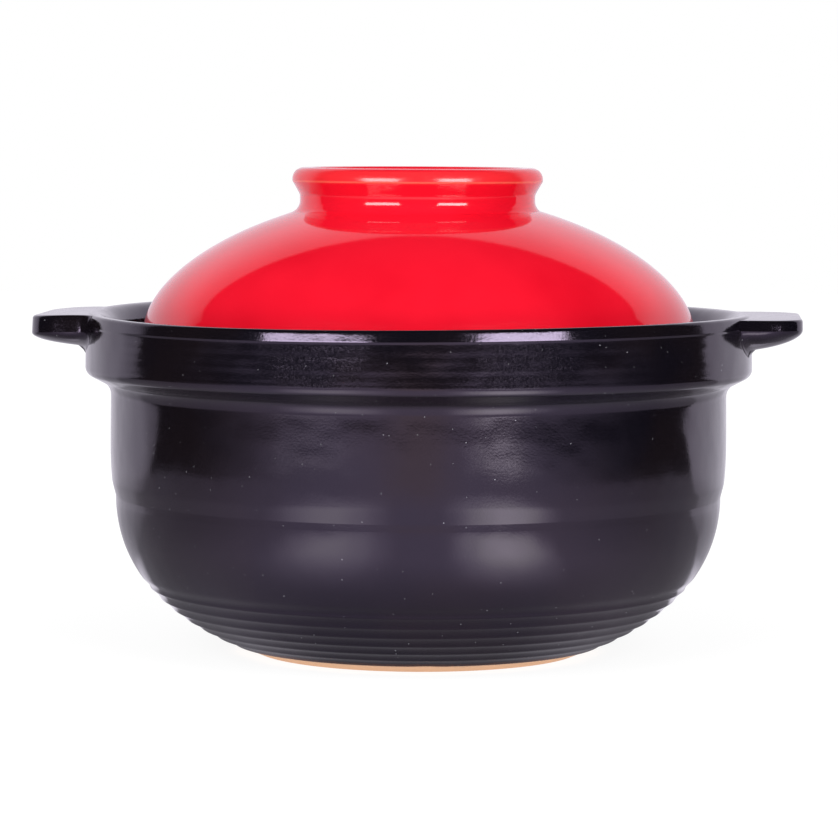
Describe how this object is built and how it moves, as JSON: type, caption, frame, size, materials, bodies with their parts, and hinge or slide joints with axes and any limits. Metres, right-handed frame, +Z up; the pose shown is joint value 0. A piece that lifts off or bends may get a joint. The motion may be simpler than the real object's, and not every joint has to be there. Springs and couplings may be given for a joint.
{
  "type": "chinese sand pot",
  "caption": "Round glazed earthenware sand pot with a collared rim, lug handles, turned ridges round the foot and a domed lid with a grip ring.",
  "frame": {"origin": "centre of the base, on the surface that the pot stands on", "axes": "+Z up along the axis of the pot, +X through the right handle, -Y towards the front"},
  "size_m": [0.2864, 0.2504, 0.1818],
  "materials": {
    "pot_glaze": "satin",
    "lid_glaze": "gloss"
  },
  "bodies": {
    "pot": {"pot_body": "pot_glaze", "handle_left": "pot_glaze", "handle_right": "pot_glaze"},
    "lid": {"lid_dome": "lid_glaze", "lid_grip_ring": "lid_glaze"}
  },
  "joints": [
    {"name": "lid_lift", "type": "slide", "parent": "pot", "child": "lid", "axis": [0, 0, 1], "range_m": [0, 0.12]}
  ]
}
